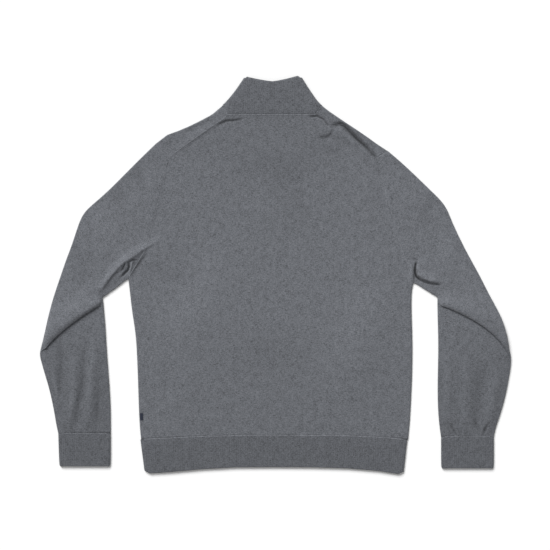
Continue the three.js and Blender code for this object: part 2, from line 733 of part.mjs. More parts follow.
// The underside of the zip's tapes: on the front panel, then up on the collar past the neck seam
const NECK_SEAM_Y = COLLAR_ROWS[0][4] - FRONT_NECK_DROP
const TAPE_STEPS = [-26, -14, -10, -6, 0, 14]
const tapeHeight = (y) => mix(KNIT, COLLAR_CLOTH, smooth((y - NECK_SEAM_Y) / TAPE_CLIMB + 1)) + PIECE_GAP

function zipStrip(x1, x2, y1, y2, thickness) {
  const middle = (x1 + x2) / 2
  const rows = []
  for (const y of [y1, ...TAPE_STEPS.map((step) => NECK_SEAM_Y + step), y2]) {
    const z = tapeHeight(y) + TAPE_THICKNESS / 2
    rows.push([new THREE.Vector3(x1, y, z), new THREE.Vector3(middle, y, z), new THREE.Vector3(x2, y, z)])
  }
  return wall(rows, thickness)
}

const sliderLow = ZIP_TOP - SLIDER_LENGTH
const sliderFace = TAB_AXIS_Z + 0.8
const tabAxisY = sliderLow + SLIDER_LENGTH / 2

// The slider: its body round the chain's end and a bridge under it that holds the pull tab
function zipSlider() {
  const [left, right] = [NECK_X - SLIDER_HALF_WIDTH, NECK_X + SLIDER_HALF_WIDTH]
  const taper = 1.2
  const cut = 1.5
  const body = plate(
    [
      [left + taper, sliderLow],
      [right - taper, sliderLow],
      [right, sliderLow + SLIDER_LENGTH / 3],
      [right, ZIP_TOP - cut],
      [right - cut, ZIP_TOP],
      [left + cut, ZIP_TOP],
      [left, ZIP_TOP - cut],
      [left, sliderLow + SLIDER_LENGTH / 3],
    ],
    sliderFace,
    SLIDER_THICKNESS,
  )
  const [low, high] = [tabAxisY - BRIDGE_HALF_LENGTH, tabAxisY + BRIDGE_HALF_LENGTH]
  const [barLeft, barRight] = [NECK_X - BRIDGE_HALF_WIDTH, NECK_X + BRIDGE_HALF_WIDTH]
  const postTop = sliderFace + SLIDER_THICKNESS / 4
  const bar = block(barLeft, barRight, low, high, BRIDGE_LOW, BRIDGE_HIGH)
  const lowPost = block(barLeft, barRight, low, low + POST_LENGTH, BRIDGE_LOW, postTop)
  const highPost = block(barLeft, barRight, high - POST_LENGTH, high, BRIDGE_LOW, postTop)
  return join(body, bar, lowPost, highPost)
}

// The pull tab: a plate with an eye, whose end bar lies between the slider and its bridge
function zipPullTab() {
  const [left, right] = [NECK_X - TAB_HALF_WIDTH, NECK_X + TAB_HALF_WIDTH]
  const [low, high] = [tabAxisY - TAB_LENGTH, tabAxisY + TAB_THICKNESS / 2]
  const shape = new THREE.Shape()
  shape.moveTo(left + TAB_CORNER, low)
  shape.lineTo(right - TAB_CORNER, low)
  shape.absarc(right - TAB_CORNER, low + TAB_CORNER, TAB_CORNER, -Math.PI / 2, 0)
  shape.lineTo(right, high)
  shape.lineTo(left, high)
  shape.absarc(left + TAB_CORNER, low + TAB_CORNER, TAB_CORNER, Math.PI, 1.5 * Math.PI)
  const eyeTop = tabAxisY - TAB_THICKNESS / 2
  const eyeLow = tabAxisY - EYE_LENGTH
  const eye = new THREE.Path()
  eye.moveTo(NECK_X - EYE_HALF_WIDTH, eyeLow)
  eye.lineTo(NECK_X - EYE_HALF_WIDTH, eyeTop)
  eye.lineTo(NECK_X + EYE_HALF_WIDTH, eyeTop)
  eye.lineTo(NECK_X + EYE_HALF_WIDTH, eyeLow)
  eye.closePath()
  shape.holes.push(eye)
  const depth = TAB_THICKNESS
  const geometry = new THREE.ExtrudeGeometry(shape, { depth, bevelEnabled: false, curveSegments: 4 })
  return geometry.translate(0, 0, TAB_AXIS_Z - TAB_THICKNESS / 2)
}

function zipStop() {
  const z = tapeHeight(ZIP_BOTTOM) + TAPE_THICKNESS / 2 - STOP_THICKNESS / 2
  const top = ZIP_BOTTOM - PIECE_GAP
  const [left, right] = [NECK_X - STOP_HALF_WIDTH, NECK_X + STOP_HALF_WIDTH]
  return block(left, right, top - STOP_LENGTH, top, z, z + STOP_THICKNESS)
}

// The label lies on the back panel, just inside the side seam
function sideLabel() {
  const rows = []
  for (let i = 0; i <= 3; i += 1) {
    const y = mix(LABEL_BOTTOM, LABEL_TOP, i / 3)
    const row = []
    for (const share of [0, 0.5, 1]) {
      const x = mix(LABEL_LEFT, LABEL_RIGHT, share) + LABEL_INSET
      const face = upperLayer(x, y) + bodyLoft(x, y) + KNIT + PIECE_GAP
      row.push(new THREE.Vector3(x, y, face + LABEL_THICKNESS / 2))
    }
    rows.push(row)
  }
  return wall(rows, LABEL_THICKNESS)
}

const sweater = new THREE.Group()

function addPiece(name, geometry, colour, roughness = 0.95, metalness = 0) {
  const material = new THREE.MeshStandardMaterial({ color: colour, roughness, metalness })
  const mesh = new THREE.Mesh(geometry, material)
  mesh.name = name
  sweater.add(mesh)
}

addPiece('front_panel', frontPanel(), COLOURS.knit)
addPiece('back_panel', backPanel(), COLOURS.knit)
addPiece('sleeve_left', sleeve(SLEEVE_LEFT, armhole(1, 1, 2, ARM_PIT_LEFT), 1), COLOURS.knit)
addPiece('sleeve_right', sleeve(SLEEVE_RIGHT, armhole(4, 2, 5, ARM_PIT_RIGHT), -1), COLOURS.knit)
addPiece('cuff_left', cuff(CUFF_LEFT), COLOURS.rib)
addPiece('cuff_right', cuff(CUFF_RIGHT), COLOURS.rib)
addPiece('hem_back', hemBack(), COLOURS.rib)
addPiece('hem_front', hemFront(), COLOURS.rib)
addPiece('collar', collar(), COLOURS.rib)
const tapeFrom = CHAIN_HALF_WIDTH + PIECE_GAP
const tapeTop = sliderLow - PIECE_GAP
const tapeLow = ZIP_BOTTOM - TAPE_TAIL
const leftTape = zipStrip(NECK_X - tapeFrom - TAPE_WIDTH, NECK_X - tapeFrom, tapeLow, tapeTop, TAPE_THICKNESS)
const rightTape = zipStrip(NECK_X + tapeFrom, NECK_X + tapeFrom + TAPE_WIDTH, tapeLow, tapeTop, TAPE_THICKNESS)
addPiece('zip_tape_left', leftTape, COLOURS.tape)
addPiece('zip_tape_right', rightTape, COLOURS.tape)
const chain = zipStrip(NECK_X - CHAIN_HALF_WIDTH, NECK_X + CHAIN_HALF_WIDTH, ZIP_BOTTOM, tapeTop, CHAIN_THICKNESS)
addPiece('zip_chain', chain, COLOURS.metal, 0.4, 0.9)
addPiece('zip_slider', zipSlider(), COLOURS.metal, 0.35, 0.9)
addPiece('zip_pull_tab', zipPullTab(), COLOURS.metal, 0.35, 0.9)
addPiece('zip_stop', zipStop(), COLOURS.metal, 0.35, 0.9)
addPiece('side_label', sideLabel(), COLOURS.label)

// The origin is under the middle of the whole garment
const box = new THREE.Box3().setFromObject(sweater)
const middle = box.getCenter(new THREE.Vector3())
sweater.position.set(-middle.x, -middle.y, -box.min.z)
sweater.updateMatrixWorld(true)

export default sweater
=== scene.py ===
# %% [markdown]
# A quarter zip sweater laid flat
#
# The garment is a fine grey knit that lies on its front, so the camera sees its back. The imported model
# already holds every piece at its real size. Here each cloth piece becomes a smooth thin shell on that
# form, with its creases placed one by one, and every surface gets a procedural finish.

# %% Load the frame
import math

import bmesh
import bpy
import numpy as np
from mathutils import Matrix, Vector
from mathutils.bvhtree import BVHTree


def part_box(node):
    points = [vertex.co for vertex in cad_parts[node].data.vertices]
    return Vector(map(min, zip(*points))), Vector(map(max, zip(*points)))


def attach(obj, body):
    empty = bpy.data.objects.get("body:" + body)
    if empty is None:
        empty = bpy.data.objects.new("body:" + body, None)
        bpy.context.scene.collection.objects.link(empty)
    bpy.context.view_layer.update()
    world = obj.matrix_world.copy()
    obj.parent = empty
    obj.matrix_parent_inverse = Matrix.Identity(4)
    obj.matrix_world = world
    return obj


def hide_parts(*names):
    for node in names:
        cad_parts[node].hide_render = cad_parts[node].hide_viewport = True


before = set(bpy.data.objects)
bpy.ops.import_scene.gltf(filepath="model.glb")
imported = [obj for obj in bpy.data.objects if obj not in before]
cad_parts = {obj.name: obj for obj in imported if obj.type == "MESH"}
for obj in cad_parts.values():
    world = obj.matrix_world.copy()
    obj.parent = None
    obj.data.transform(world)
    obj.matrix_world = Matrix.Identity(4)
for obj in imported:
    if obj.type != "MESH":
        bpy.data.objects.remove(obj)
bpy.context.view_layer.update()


bpy.ops.object.select_all(action="DESELECT")

# %% [markdown]
# Places are written in millimetres from the middle of the photograph's garment, as on a cutting table: x to
# the right, y towards the collar. The frame's origin lies a little to the side of that point.

# %% Units and places
MM = 0.001
SHIFT = np.array([-2.31, 0.9])


def table_points(points):
    """Millimetre places on the cutting table as metres in the frame."""
    return (np.array(points, dtype=float) + SHIFT) * MM


print("the table's middle lies at", table_points([(0, 0)])[0], "m in the frame")

# %% [markdown]
# A real crease has a start, an end and two sides that fall at their own pace. Each one here is a short line
# of places, a width for its left and its right side, seen along the line, and a height, which is negative
# for a trough. A displacement texture could do this too, but it can't follow a seam or fade at an arm pit.
# The narrow ones, under the arms, need finer faces, so they have a table of their own.

# %% The narrow creases at the arm pits, neck and shoulder
NARROW_CREASES = {
    "left arm pit ridge": (
        [(-236, 65), (-248, 58), (-264, 49), (-279, 37), (-294, 28), (-308, 17), (-325, -1), (-344, -30)],
        3, 9, 2.6),
    "left pit hollow": ([(-303, 10), (-316, 2), (-330, -14), (-341, -30)], 4, 3, -1.4),
    "left pit arc": ([(-275, 28.5), (-284, 28), (-292, 24)], 1.5, 1.5, -2.4),
    "left pit groove": ([(-291, 23), (-289.5, 15), (-292, 9), (-298, 3), (-304, -4)], 2.0, 2.0, -4.6),
    "left pit hook": ([(-284, 25), (-285.5, 15), (-288, 6), (-289.5, -4)], 2.2, 2.4, 2.0),
    "left pit inner groove": ([(-297, 24), (-300, 16), (-304, 8)], 1.7, 1.7, -2.8),
    "left pit side hollow": ([(-256, 38), (-266, 27), (-273, 16), (-280, 6), (-283, -3)], 5, 3, -2.2),
    "left neck pucker": ([(-62, 310), (-80, 307), (-96, 306), (-112, 298)], 2.2, 2.6, -2.4),
    "right pit groove": (
        [(283, 22), (281.5, 14), (281, 6), (283, -3), (290, -10), (300, -15), (313, -19), (331, -21.5)],
        2.6, 2.0, -4.4),
    "right pit slit": ([(283, 22), (281.5, 12), (281, 4), (283.5, -4), (289, -9)], 2.0, 1.8, -3.4),
    "right pit tail": ([(280, 3), (280, -8), (279.5, -17)], 1.6, 1.6, -2.4),
    "right sleeve roll": ([(290, 26), (286, 12), (289, 0), (297, -7), (311, -12), (328, -14)], 9, 3, 2.0),
    "right side roll": ([(272, 24), (275, 8), (275, -12)], 2.6, 6, 1.4),
    "right pit nick": ([(272, 33), (281, 30), (287, 25)], 2.5, 2.5, -1.2),
    "right shoulder valley": (
        [(118, 298), (132, 301), (141, 296), (153, 284), (166, 271), (180, 259), (192, 247), (202, 236)],
        3.4, 4.6, -5),
    "right armhole hollow": ([(199, 242), (206, 224), (210, 206), (213, 190)], 3, 3, -1.2),
    "right neck arch": ([(72, 314), (86, 316), (98, 310), (105, 301), (108, 296)], 1.9, 2.2, -2.8),
    "right yoke hook": ([(90, 273), (106, 274), (114, 281), (117, 290)], 3, 4, -1.6),
    "right elbow nick": ([(422, -92), (438, -97)], 3, 3, -1.4),
    "right cuff outer gather": ([(428, -298), (421, -310), (418, -321)], 2.6, 3.5, -2.2),
    "right cuff middle gather": ([(402, -288), (404, -306)], 3.2, 3.2, -1.6),
    "right cuff inner gather": ([(352, -300), (363, -321)], 3, 3.5, -1.6),
    "hem left pucker": ([(-131, -306), (-131, -319)], 3, 3, -0.8),
    "hem middle pucker": ([(53, -304), (52, -318)], 3, 3, -0.8),
    "hem right pucker": ([(97, -298), (98, -317)], 4, 4, -0.8),
}

# %% The wide creases of the sleeves, shoulders and back
WIDE_CREASES = {
    "left shoulder ridge": ([(-97, 313), (-139, 286), (-189, 251), (-208, 235)], 4, 8, 1.6),
    "left shoulder hollow": ([(-172, 287), (-150, 298), (-128, 309)], 7, 7, -1.6),
    "left sleeve head": ([(-273, 216), (-266, 196), (-256, 168)], 8, 10, -2.4),
    "left sleeve head ridge": ([(-252, 216), (-246, 190), (-240, 160)], 9, 9, 1.2),
    "left sleeve back": ([(-316, 170), (-306, 150), (-299, 128)], 10, 10, -1.8),
    "left sleeve swell": ([(-350, 120), (-330, 80), (-318, 40)], 20, 20, 2.0),
    "left sleeve drag": ([(-398, 60), (-380, 20), (-372, -20)], 13, 15, -1.8),
    "left elbow swell": ([(-352, -20), (-386, -52), (-424, -92)], 14, 14, 1.6),
    "right shoulder roll": ([(118, 288), (140, 278), (158, 264), (182, 243)], 9, 8, 1.6),
    "right yoke pucker": ([(91, 271), (119, 273)], 7, 7, -1.0),
    "right yoke second pucker": ([(145, 260), (173, 252)], 6, 6, -1.0),
    "right sleeve back": ([(318, 150), (306, 118), (304, 90)], 12, 12, -1.8),
    "right sleeve swell": ([(350, 70), (342, 30), (350, 0)], 18, 18, 1.8),
    "right side seam": ([(254, -14), (254.5, -50), (254, -92)], 2.4, 2.4, -0.8),
    "left forearm outer ridge": ([(-440, -176), (-437, -206), (-430, -262)], 6, 5, 2.0),
    "left forearm outer hollow": ([(-424, -136), (-424, -180), (-427, -242)], 6, 7, -2.4),
    "left forearm ridge": ([(-401, -170), (-397, -236), (-410, -298)], 8, 8, 2.4),
    "left forearm middle hollow": ([(-377, -145), (-384, -240), (-398, -306)], 6, 7, -2.6),
    "left forearm inner ridge": ([(-358, -140), (-366, -236), (-374, -300)], 8, 7, 2.4),
    "left forearm inner hollow": ([(-350, -238), (-354, -309)], 6, 6, -2.2),
    "right forearm swell": ([(440, -205), (436, -250), (426, -296)], 12, 12, 2.4),
    "right forearm hollow": ([(409, -190), (411, -240), (407, -300)], 9, 9, -1.8),
    "right forearm ridge": ([(384, -170), (383, -230), (380, -300)], 12, 12, 2.0),
    "right forearm inner ridge": ([(348, -150), (348, -220), (346, -290)], 10, 10, 1.6),
    "back left sweep": ([(-210, -130), (-150, -60), (-110, 40)], 40, 36, 1.8),
    "back left pit drag": ([(-240, 10), (-200, -10), (-150, -12)], 14, 18, -1.2),
    "back right sweep": ([(110, -210), (170, -120), (205, 10)], 44, 40, 1.8),
    "back right pit drag": ([(240, 0), (200, -16), (150, -14)], 18, 14, -1.0),
    "back low sag": ([(-60, -180), (10, -160), (70, -190)], 36, 40, -1.4),
    "back middle fold": ([(10, 210), (56, 130), (80, 60)], 22, 30, -1.2),
    "back yoke sag": ([(-70, 200), (0, 190), (70, 205)], 36, 40, -1.2),
    "back left low fold": ([(-230, -290), (-190, -230), (-170, -170)], 18, 22, 1.0),
}

# %% [markdown]
# A place's distance to a crease is measured to the nearest of its straight stretches. The height falls off
# with that distance as a bell does, and fades towards both ends of the line.

# %% Distance to a line and height of the creases
LEAST_DISTANCE = 1e-9
BELL_REACH = 3.5
END_SHARE = 0.3
FADE_POWER = 0.6


def along_line(places, corners):
    """Each place's distance to a line, the way it points, its side and how far along the line it lies."""
    best = np.full(len(places), np.inf)
    side = np.zeros(len(places))
    along = np.zeros(len(places))
    away = np.zeros_like(places)
    steps = np.linalg.norm(np.diff(corners, axis=0), axis=1)
    starts = np.concatenate([[0], np.cumsum(steps)])
    for i, step in enumerate(steps):
        way = (corners[i + 1] - corners[i]) / step
        offset = places - corners[i]
        travel = np.clip(offset @ way, 0, step)
        from_line = offset - travel[:, None] * way
        distance = np.linalg.norm(from_line, axis=1)
        closer = distance < best
        best[closer] = distance[closer]
        away[closer] = (from_line / np.maximum(distance, LEAST_DISTANCE)[:, None])[closer]
        side[closer] = np.sign(way[0] * offset[:, 1] - way[1] * offset[:, 0])[closer]
        along[closer] = (starts[i] + travel)[closer]
    return best, away, side, along, starts[-1]


def crease_heights(places, creases):
    """The height that the creases add at each place, in metres."""
    total = np.zeros(len(places))
    for line, left, right, height in creases.values():
        corners = table_points(line)
        reach = BELL_REACH * max(left, right) * MM
        near = np.all((places > corners.min(0) - reach) & (places < corners.max(0) + reach), axis=1)
        distance, _, side, along, length = along_line(places[near], corners)
        width = np.where(side > 0, left, right) * MM
        middle = np.clip(np.sin(np.pi * along / length), 0, 1) ** FADE_POWER
        fade = END_SHARE + (1 - END_SHARE) * middle
        total[near] += height * MM * fade * np.exp(-((distance / width) ** 2))
    return total


print(len(NARROW_CREASES) + len(WIDE_CREASES), "creases")

# %% [markdown]
# A shell on its solid's form can be drawn again point by point, or taken from the solid. Taking it is exact,
# so each cloth piece starts as a copy of its solid: its doubles are merged and its triangles become quads
# again. Sharp edges and the corners of the outline are creased, so that the Subdivision Surface which then
# rounds the cloth doesn't draw them in.

# %% Helpers for points and selection
def make_active(piece):
    bpy.ops.object.select_all(action="DESELECT")
    piece.select_set(True)
    bpy.context.view_layer.objects.active = piece


def read_points(piece):
    points = np.empty(3 * len(piece.data.vertices))
    piece.data.vertices.foreach_get("co", points)
    return points.reshape(-1, 3)


def write_points(piece, points):
    piece.data.vertices.foreach_set("co", points.ravel())
    piece.data.update()


def smooth_step(values):
    """Values from 0 to 1 that leave and arrive softly."""
    values = np.clip(values, 0, 1)
    return values * values * (3 - 2 * values)


# %% A cloth shell from its solid
SHARP = math.radians(60)
CORNER_TURN = math.radians(22)
CORNER_ARM = 5 * MM
MERGE_DISTANCE = 2e-6


def crease_corners(piece):
    """Keeps the corners of a cut edge, where two long sharp edges meet at an angle."""
    edit = bmesh.new()
    edit.from_mesh(piece.data)
    layer = edit.verts.layers.float.new("crease_vert")
    found = 0
    for vert in edit.verts:
        sharp = [edge for edge in vert.link_edges if edge.is_manifold and edge.calc_face_angle() > SHARP]
        if len(sharp) != 2 or min(edge.calc_length() for edge in sharp) < CORNER_ARM:
            continue
        ways = [(edge.other_vert(vert).co - vert.co).normalized() for edge in sharp]
        if math.pi - ways[0].angle(ways[1]) > CORNER_TURN:
            vert[layer] = 1
            found += 1
    edit.to_mesh(piece.data)
    edit.free()
    return found


def shell_of(node, levels, kind="CATMULL_CLARK"):
    """A subdivided copy of a solid, as its own object at the origin."""
    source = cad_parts[node]
    mesh = source.data.copy()
    mesh.transform(source.matrix_world)
    piece = bpy.data.objects.new(f"{node}_cloth", mesh)
    bpy.context.scene.collection.objects.link(piece)
    mesh.materials.clear()
    make_active(piece)
    bpy.ops.object.mode_set(mode="EDIT")
    bpy.ops.mesh.select_all(action="SELECT")
    bpy.ops.mesh.remove_doubles(threshold=MERGE_DISTANCE)
    bpy.ops.mesh.tris_convert_to_quads(face_threshold=math.pi, shape_threshold=math.pi)
    bpy.ops.mesh.normals_make_consistent(inside=False)
    bpy.ops.mesh.select_all(action="DESELECT")
    bpy.ops.mesh.select_mode(type="EDGE")
    bpy.ops.mesh.edges_select_sharp(sharpness=SHARP)
    bpy.ops.transform.edge_crease(value=1)
    bpy.ops.object.mode_set(mode="OBJECT")
    corners = crease_corners(piece)
    divide = piece.modifiers.new("Round", "SUBSURF")
    divide.subdivision_type = kind
    divide.levels = levels
    divide.render_levels = levels
    bpy.ops.object.modifier_apply(modifier=divide.name)
    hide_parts(node)
    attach(piece, "garment")
    print(node, "has", len(piece.data.polygons), "faces and", corners, "corners")
    return piece


# %% [markdown]
# The back panel is the piece that shows most. Three rounds of subdivision give it faces of a few
# millimetres, which is fine enough for its wide creases. The cuffs, the back hem and the collar are small and
# need two. The front panel and the front hem lie flat on the table, so they are divided without rounding,
# which leaves their edges where the solids have them.

# %% Back panel, sleeves, cuffs, hem and collar
back = shell_of("back_panel", 3)
sleeve_left = shell_of("sleeve_left", 3)
sleeve_right = shell_of("sleeve_right", 3)
cuff_left = shell_of("cuff_left", 2)
cuff_right = shell_of("cuff_right", 2)
hem_back = shell_of("hem_back", 2)
hem_front = shell_of("hem_front", 3, "SIMPLE")
collar = shell_of("collar", 2)
front = shell_of("front_panel", 3, "SIMPLE")

# %% [markdown]
# The narrow creases need finer faces than the panels have, so the faces round them are selected by their
# place and subdivided once more. Then every point of the upper layer is moved by the creases. The lower
# layer stays flat, because it lies on the table.

# %% Finer faces and the creases
LOWER_LAYER = 1.2 * MM
LAYER_STEP = 1.4 * MM
LOWER_TOP = 1.6 * MM
LEAST_SHARE = 0.25
BACK_REACH = 0.8 * MM
PANEL_REACH = 4.5 * MM


def refine(piece, reach):
    """Subdivides the upper faces near the narrow creases."""
    centres = np.empty(3 * len(piece.data.polygons))
    piece.data.polygons.foreach_get("center", centres)
    centres = centres.reshape(-1, 3)
    chosen = np.zeros(len(centres), dtype=bool)
    for line, left, right, _ in NARROW_CREASES.values():
        distance = along_line(centres[:, :2], table_points(line))[0]
        chosen |= distance < reach + min(left, right) * MM
    chosen &= centres[:, 2] > LOWER_LAYER
    if not chosen.any():
        return
    make_active(piece)
    bpy.ops.object.mode_set(mode="EDIT")
    bpy.ops.mesh.select_mode(type="FACE")
    bpy.ops.mesh.select_all(action="DESELECT")
    bpy.ops.object.mode_set(mode="OBJECT")
    piece.data.polygons.foreach_set("select", chosen)
    bpy.ops.object.mode_set(mode="EDIT")
    bpy.ops.mesh.subdivide(number_cuts=1, smoothness=0)
    bpy.ops.object.mode_set(mode="OBJECT")
    print(piece.name, "has", len(piece.data.polygons), "faces after", int(chosen.sum()), "were divided")


def crease(piece):
    """Moves the upper layer's points by the creases, and keeps them above the lower layer."""
    points = read_points(piece)
    before = points[:, 2].copy()
    upper = smooth_step((before - LOWER_LAYER) / LAYER_STEP)
    for creases in (NARROW_CREASES, WIDE_CREASES):
        points[:, 2] += upper * crease_heights(points[:, :2], creases)
    lowest = LOWER_TOP + LEAST_SHARE * np.maximum(before - LOWER_TOP, 0)
    points[:, 2] = np.maximum(points[:, 2], np.minimum(before, lowest))
    write_points(piece, points)


# %% Divide and crease the cloth
for piece in [back, sleeve_left, sleeve_right, cuff_left, cuff_right, hem_back, front]:
    refine(piece, BACK_REACH if piece is back else PANEL_REACH)
    crease(piece)

# %% [markdown]
# On a fine sweater the panels are linked along their edges, so no gap shows between them. The solids keep
# one, because solids that touch can't be told apart. Each shell's edge is therefore drawn up to its seam and
# to the height of the panel across it. Moving the edge alone would pinch the cloth, so the move fades out
# over a few millimetres. The seams' places are the ones at which the solids meet.

# %% The seams, with the upper and the lower pieces that meet at each
SEAMS = {
    "seam_neck": (
        [(-94, 319.1), (-80, 319.2), (-40, 319.2), (0, 319.2), (40, 319.2), (82, 319.1)],
        [collar, back], [front]),
    "seam_neck_left": ([(-104.5, 342.2), (-98.2, 328.3), (-94, 319.1)], [collar, front], []),
    "seam_neck_right": ([(82, 319.1), (87.9, 327), (98.2, 341)], [collar, front], []),
    "seam_shoulder_left": (
        [(-94, 318.6), (-101, 311), (-115, 302), (-121, 298), (-139, 285), (-158, 272), (-175, 260),
         (-193, 247), (-209, 234)],
        [back, front], []),
    "seam_shoulder_right": (
        [(82, 318.6), (98, 311), (107, 302), (139, 298), (152, 285), (166, 272), (180, 260), (194, 247),
         (204, 234)],
        [back, front], []),
    "seam_armhole_left": (
        [(-240, 266), (-209, 234), (-215, 210), (-221, 185), (-230, 150), (-242, 105), (-250, 75),
         (-258, 49), (-266, 35), (-275, 20), (-284, 6), (-294, -12)],
        [sleeve_left, back], [front]),
    "seam_armhole_right": (
        [(231, 250), (204, 234), (210, 210), (217, 185), (227, 150), (239, 105), (247, 75), (255, 49),
         (260, 35), (265, 20), (269, 6), (274, -8), (279.5, -21)],
        [sleeve_right, back], [front]),
    "seam_hem": (
        [(-267, -330), (-256.4, -329), (-213.8, -327), (-152.6, -324), (-80.8, -322), (-1, -321),
         (78.8, -322), (150.6, -322.5), (211.8, -325.5), (254.4, -329), (265, -330)],
        [back, hem_back], [front, hem_front]),
    "seam_cuff_left": ([(-432, -317.8), (-327, -317.8)], [sleeve_left, cuff_left], []),
    "seam_cuff_right": ([(333, -324.4), (439, -324.4)], [sleeve_right, cuff_right], []),
}
print(len(SEAMS), "seams")

# %% [markdown]
# The rim of a piece is looked for in even steps along the seam. Snapping the rim's points onto the seam would
# be simpler, but it folds the cloth where the rim isn't straight. So the distance is measured at each step,
# and all the cloth within reach moves by a share of it that falls to nothing.

# %% Helpers that draw a rim up to its seam
REACH = 9 * MM
WIDEST_GAP = 4.5 * MM
STEP = 6 * MM
SHORT_STEP = 2.5 * MM
UNDER_LAYER = 2.4 * MM
OVERLAP = 0.2 * MM
RIM_DEPTH = 2.5 * MM
LONG_SEAM = 5 * STEP


def rim_of(points, distance, along, length):
    """How far a piece's rim lies from a seam, and how high its top is, at even steps along the seam."""
    count = round(length / (STEP if length > LONG_SEAM else SHORT_STEP))
    bins = np.clip((along / length * count).astype(int), 0, count - 1)
    gap = np.full(count, np.nan)
    top = np.full(count, np.nan)
    for i in np.unique(bins):
        inside = bins == i
        nearest = distance[inside].min()
        if nearest < WIDEST_GAP:
            gap[i] = nearest
            top[i] = points[inside & (distance < nearest + RIM_DEPTH), 2].max()
    return gap, top


def spread(values, along, length):
    """The values of even steps, read at any place along the seam; nan where a step has none."""
    known = ~np.isnan(values)
    if not known.any():
        return np.full(len(along), np.nan)
    middles = (np.arange(len(values)) + 0.5) / len(values) * length
    nearest = np.clip((along / length * len(values)).astype(int), 0, len(values) - 1)
    return np.where(known[nearest], np.interp(along, middles[known], values[known]), np.nan)


def close_seam(corners, uppers, lowers):
    """Draws the rims of the pieces up to a seam, and levels the upper ones there."""
    rims = []
    for piece in [*uppers, *lowers]:
        points = read_points(piece)
        distance, away, _, along, length = along_line(points[:, :2], corners)
        reached = (distance < REACH) & (along > 0) & (along < length)
        near = np.flatnonzero(reached & ((points[:, 2] < UNDER_LAYER) | bool(uppers)))
        distance, away, along = distance[near], away[near], along[near]
        gap, top = rim_of(points[near], distance, along, length)
        rims.append((piece, points, near, distance, away, along, gap, top))
    tops = np.array([rim[-1] for rim in rims[: len(uppers)]])
    known = ~np.isnan(tops)
    level = np.where(known, tops, 0).sum(0) / np.maximum(known.sum(0), 1)
    widest = 0
    for piece, points, near, distance, away, along, gap, top in rims:
        rim = spread(gap, along, length)
        share = np.clip(1 - (distance - rim) / (REACH - rim), 0, 1) ** 2
        pull = np.nan_to_num((rim + OVERLAP) * share)
        points[near, :2] -= away * pull[:, None]
        if piece in uppers:
            rise = np.nan_to_num(spread(level - top, along, length) * share)
            points[near, 2] += rise * smooth_step((points[near, 2] - LOWER_LAYER) / LAYER_STEP)
        write_points(piece, points)
        widest = max(widest, np.nanmax(gap, initial=0))
    return widest


# %% Close the seams, and the front of the neck from its two ends down to the zip
FRONT_NECK_LOW = 275.6
FRONT_NECK_ENDS = [(-102.7, 338.3, -8.4), (95.4, 337.3, 0.4)]
FRONT_NECK_PLACES = 14
for name, (line, uppers, lowers) in SEAMS.items():
    widest = close_seam(table_points(line), uppers, lowers)
    print(name, "closed, widest rim distance", round(widest / MM, 1), "mm")

for edge_x, edge_y, slot_x in FRONT_NECK_ENDS:
    shares = np.linspace(0, 1, FRONT_NECK_PLACES)
    heights = edge_y + (FRONT_NECK_LOW - edge_y) * np.sin(np.pi / 2 * shares)
    line = np.stack([edge_x + (slot_x - edge_x) * shares, heights], axis=1)
    widest = close_seam(table_points(line), [], [collar, front])
    print("front neck seam closed, widest rim distance", round(widest / MM, 1), "mm")

# %% [markdown]
# The link shows as a thin row of loops that stands hardly proud of the cloth. A bevelled curve could follow
# it, but a strip swept along the seam can lie on the cloth, whose height is found by a ray from above. At
# both ends of the neck, where three pieces meet, the strip is broader and covers the corner, as the gathered
# seam does on the real sweater.

# %% Sizes of the strips, their ends, and the two lines that run to the garment's edge
STRIP_STEP = 1.6 * MM
STRIP_HALF_WIDTH = 1.25 * MM
STRIP_PROFILE = [(-1, -0.3), (-0.6, 0.2), (0, 0.38), (0.6, 0.2), (1, -0.3), (0, -1.0)]
STRIP_ENDS = {"seam_neck": (0, 0), "seam_neck_left": (2, 0), "seam_neck_right": (0, 2),
              "seam_shoulder_left": (0, 2), "seam_shoulder_right": (0, 2)}
TIP_LINES = {"seam_neck_left": [(-102.5, 340.1), (-100.1, 335.2), (-98, 328.3), (-94, 319.1)],
             "seam_neck_right": [(82, 319.1), (87.9, 327), (92.9, 334.4), (95.9, 339)]}
MIDDLE_ENDS = (6, 6)
TIP_REACH = 7 * MM
TIP_SPREAD = 0.9
STRIP_LOWEST = 0.1 * MM
ABOVE_ALL = 100 * MM
RAY_STEPS = (-1, 0, 1)
print("strips", 2 * STRIP_HALF_WIDTH / MM, "mm wide")


# %% Helpers that lay a strip on the cloth
def smooth_line(points, step):
    """A rounded line through the points, with a place every step."""
    points = table_points(points)
    ends = np.vstack([2 * points[0] - points[1], points, 2 * points[-1] - points[-2]])
    line = []
    for a, b, c, d in zip(ends, ends[1:], ends[2:], ends[3:]):
        count = max(2, int(np.linalg.norm(c - b) / step))
        for t in np.arange(count) / count:
            cubic = (2 * a - 5 * b + 4 * c - d) * t * t + (3 * b - a - 3 * c + d) * t**3
            line.append(0.5 * (2 * b + (c - a) * t + cubic))
    return np.array([*line, points[-1]])


def cloth_height(trees, place):
    """The height of the uppermost cloth at a place."""
    start = Vector((place[0], place[1], ABOVE_ALL))
    hits = [tree.ray_cast(start, Vector((0, 0, -1)))[0] for tree in trees]
    return max((hit.z for hit in hits if hit is not None), default=0)


